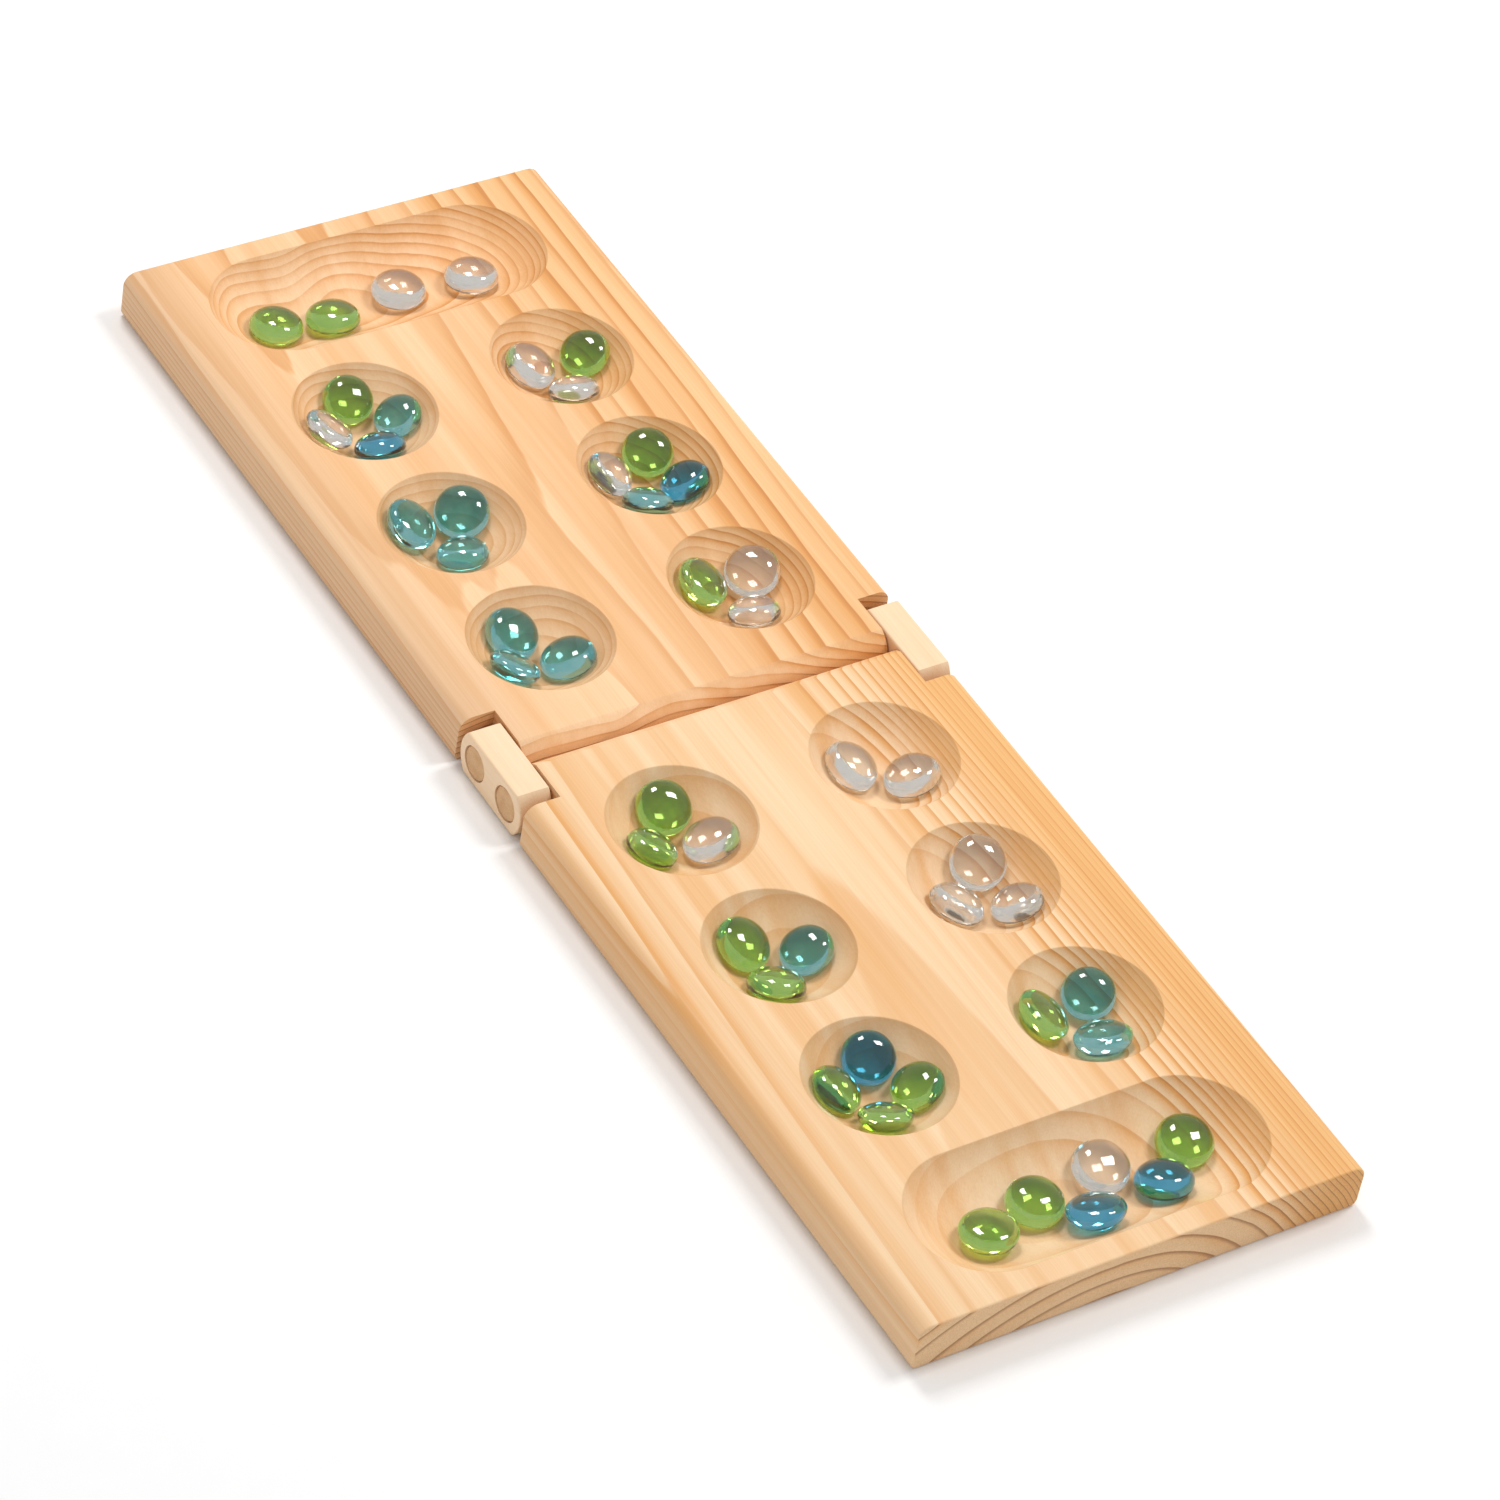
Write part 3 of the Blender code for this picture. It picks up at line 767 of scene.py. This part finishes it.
# Painted light in the hollows: a multiplier above 1
HOLLOW_PAINTED_LIGHT = (1.05, 1.05, 1.08)
LEFT_EDGE = (46.0, 66.0)
LEFT_SHADE = (0.82, 0.82, 0.84)
WOOD_SPECULAR = 0.35

# Roughness is the least of it and what each mark adds; where one mark alone adds, it is (added, least).
# A bump is (strength, depth in metres).
PINE_ROUGH = {"least": 0.44, "fibres": 0.16, "bands": -0.08, "end": 0.15}
PINE_RELIEF = {"bands": 0.5, "pores": 0.8, "bump": (0.35, 0.00006)}
PLAIN_ROUGH = (0.2, 0.48)
PLAIN_BUMP = (0.3, 0.00005)

NEAR_FIELD = {
    "pith_x": 75.0,
    "pith_y": -8.0,
    "pith_depth": 56.0,
    "pith_rise": -0.021,
    "first_radius": 56.0,
    "rate": 0.0875,
    "quickening": 0.0098,
    "inner_rate": 0.09,
    "left_share": 0.72,
    "slow_sizes": (150.0, 30.0, 30.0),
    "slow_waver": 2.0,
    "quick_sizes": (30.0, 6.0, 6.0),
    "quick_waver": 0.35,
    "crown_height": 0.0,
    "crown_width": 14.0,
    "offset": (3.1, 7.7, 1.9),
    "seed": 4.0,
}
FAR_FIELD = {
    "pith_x": -100.0,
    "pith_y": -27.0,
    "pith_depth": 250.0,
    "pith_rise": 0.010,
    "first_radius": 250.0,
    "rate": 0.50,
    "quickening": 0.0,
    "inner_rate": 0.0,
    "left_share": 1.0,
    "slow_sizes": (140.0, 26.0, 26.0),
    "slow_waver": 3.4,
    "quick_sizes": (26.0, 6.0, 6.0),
    "quick_waver": 0.35,
    "crown_height": -2.0,
    "crown_width": 14.0,
    "offset": (9.3, 2.2, 5.4),
    "seed": 11.0,
}
NEAR_TONES = {
    "early": linear(247, 214, 173),
    "warm": linear(242, 192, 128),
    "warm_from": (40.0, 60.0),
    "late": linear(232, 172, 104),
    "line": linear(206, 140, 78),
    "end_line": linear(150, 100, 66),
    "fibre": (0.94, 0.91, 0.87),
    "streak": (0.97, 0.94, 0.90),
    "patch": (0.98, 0.96, 0.94),
    "end": (0.93, 0.88, 0.81),
    "pore": (0.86, 0.82, 0.78),
    "left_shade": 0.15,
    "wide_strength": 0.55,
    "band_strength": 1.05,
    "line_strength": 0.60,
    "end_line_strength": 0.75,
    "ring_variation": 1.1,
    "strong_from": (-10.0, 30.0),
    "weak": 0.65,
    "line_weak": 0.30,
    "first": 0.55,
}
FAR_TONES = {
    "early": linear(250, 210, 166),
    "warm": linear(246, 202, 150),
    "warm_from": (15.0, 50.0),
    "late": linear(228, 164, 96),
    "line": linear(200, 132, 74),
    "end_line": linear(150, 100, 66),
    "fibre": (0.94, 0.91, 0.87),
    "streak": (0.96, 0.92, 0.87),
    "patch": (0.97, 0.94, 0.91),
    "end": (0.93, 0.88, 0.81),
    "pore": (0.88, 0.84, 0.80),
    "left_shade": 0.8,
    "wide_strength": 0.35,
    "band_strength": 1.0,
    "line_strength": 0.55,
    "end_line_strength": 0.8,
    "ring_variation": 1.0,
    "strong_from": (-25.0, 30.0),
    "weak": 0.55,
    "line_weak": 0.5,
    "first": 1.0,
}
LINK_TONES = {
    "base": linear(250, 220, 184),
    "band": linear(246, 210, 170),
    "fibre": (0.95, 0.93, 0.90),
    "end": (0.92, 0.88, 0.83),
    "pore": (0.90, 0.87, 0.84),
}
DOWEL_TONES = {
    "base": linear(232, 192, 146),
    "band": linear(220, 174, 124),
    "fibre": (0.93, 0.90, 0.86),
    "end": (0.94, 0.90, 0.85),
    "pore": (0.88, 0.84, 0.80),
}

# Each glass's deeper and paler colour, and how milky it is
GLASS_TONES = {
    "green_glass": (linear(165, 215, 92), linear(192, 232, 120), 0.0),
    "teal_glass": (linear(120, 203, 206), linear(165, 224, 221), 0.03),
    "blue_glass": (linear(55, 165, 202), linear(92, 186, 216), 0.0),
    "clear_glass": (linear(250, 245, 235), linear(255, 253, 248), 0.05),
}
GLASS_IOR = 1.48
GLASS_COAT = 0.8
COAT_ROUGHNESS = 0.02
SWIRL_SIZES = (6.0, 6.0, 6.0)
SWIRL_STOPS = ((0.35, 0.0), (0.65, 1.0))
RIPPLE_SIZES = (1.4, 1.4, 1.4)
RIPPLE_ROUGHNESS = 0.05
RIPPLE_HEIGHT = 0.2
GLASS_BUMP = (0.25, 0.0004)


# ---------------------------------------------------------------------------------- assembly


def place_piece(obj, node, material):
    """Gives a piece its material and its body, and hides the CAD node that it stands for."""
    obj.data.materials.append(material)
    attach(obj, BODY_OF[node])
    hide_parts(node)


def build_board():
    woods = {
        "near_half": pine("near_pine", NEAR_FIELD, NEAR_TONES),
        "far_half": pine("far_pine", FAR_FIELD, FAR_TONES),
        "link_wood": plain_wood("link_wood", LINK_TONES, 0),
        "dowel_wood": plain_wood("dowel_wood", DOWEL_TONES, 1),
    }
    for node, outward in (("far_half", -1), ("near_half", 1)):
        place_piece(build_half("board_" + node, outward), node, woods[node])
    for node, slot in SLOTS.items():
        if slot == "link_wood":
            place_piece(build_link("wood_" + node, node), node, woods[slot])
        elif slot == "dowel_wood":
            place_piece(build_dowel("wood_" + node, node), node, woods[slot])


def build_stones():
    rng = np.random.default_rng(STONE_SEED)
    glasses = {slot: glass(slot, *tones) for slot, tones in GLASS_TONES.items()}
    for node, slot in SLOTS.items():
        if slot in glasses:
            place_piece(build_stone("glass_" + node, node, rng), node, glasses[slot])


# ---------------------------------------------------------------------------------- stage

FLOOR_HALF = 3.0
FLOOR_DROP = 0.0002
FLOOR_GRAIN = (9.0, 9.0, 9.0)
FLOOR_TONES = ((0.0, 0.95), (1.0, 0.97))
FLOOR_ROUGH = (0.1, 0.85)
FLOOR_SPECULAR = 0.1
CAMERA_PLACE = Vector((1.0173, -0.7843, 1.1995))
CAMERA_AIM = Vector((0.0162, 0.0037, 0.0075))
CAMERA_ROLL = 10.71
CAMERA_LENS = 153.6
SENSOR_WIDTH = 36.0
CAMERA_RANGE = (0.05, 20.0)
SKY_STRENGTH = 0.58
SOFTBOX_SIZE = (0.32, 0.44)
SOFTBOX_POWER = 8.3
SOFTBOX_PLACES = {"key_left": (-0.75, 0.10, 1.35), "key_right": (0.10, 0.80, 1.35)}


def build_floor():
    bm = bmesh.new()
    bmesh.ops.create_grid(bm, x_segments=2, y_segments=2, size=FLOOR_HALF)
    floor = new_object("floor", smooth_mesh("floor", bm))
    floor.location.z = -FLOOR_DROP
    g = Graph("floor")
    grain = g.noise(FLOOR_GRAIN)
    g.put(g.shader.inputs["Base Color"], g.ramp(grain, FLOOR_TONES))
    g.put(g.shader.inputs["Roughness"], g.maths("MULTIPLY_ADD", grain, *FLOOR_ROUGH))
    g.shader.inputs["Specular IOR Level"].default_value = FLOOR_SPECULAR
    floor.data.materials.append(g.material)


def aim_from(place, target, roll=0.0):
    """The matrix of a camera or light at a place, looking at a target and rolled in degrees."""
    look = (target - place).to_track_quat("-Z", "Y").to_matrix().to_4x4()
    return Matrix.Translation(place) @ look @ Matrix.Rotation(math.radians(roll), 4, "Z")


def build_camera():
    data = bpy.data.cameras.new("camera")
    data.lens = CAMERA_LENS
    data.sensor_width = SENSOR_WIDTH
    data.clip_start, data.clip_end = CAMERA_RANGE
    camera = new_object("camera", data)
    camera.matrix_world = aim_from(CAMERA_PLACE, CAMERA_AIM, CAMERA_ROLL)
    bpy.context.scene.camera = camera


def softbox(name, place):
    data = bpy.data.lights.new(name, "AREA")
    data.shape = "RECTANGLE"
    data.size, data.size_y = SOFTBOX_SIZE
    data.energy = SOFTBOX_POWER
    light = new_object(name, data)
    light.matrix_world = aim_from(Vector(place), Vector((0, 0, 0)))


def build_lights():
    world = bpy.data.worlds.new("studio")
    world.use_nodes = True
    sky = world.node_tree.nodes["Background"]
    sky.inputs["Color"].default_value = (1.0, 1.0, 1.0, 1)
    sky.inputs["Strength"].default_value = SKY_STRENGTH
    bpy.context.scene.world = world
    for name, place in SOFTBOX_PLACES.items():
        softbox(name, place)


def set_scene():
    scene = bpy.context.scene
    scene.view_settings.view_transform = "Standard"
    scene.view_settings.look = "None"
    scene.view_settings.exposure = 0.0
    scene.cycles.max_bounces = 12
    scene.cycles.transmission_bounces = 8
    scene.cycles.transparent_max_bounces = 8
    scene.cycles.caustics_refractive = True
    scene.cycles.caustics_reflective = False
    scene.cycles.blur_glossy = 0.5
    scene.cycles.use_denoising = True


build_board()
build_stones()
build_floor()
build_camera()
build_lights()
set_scene()
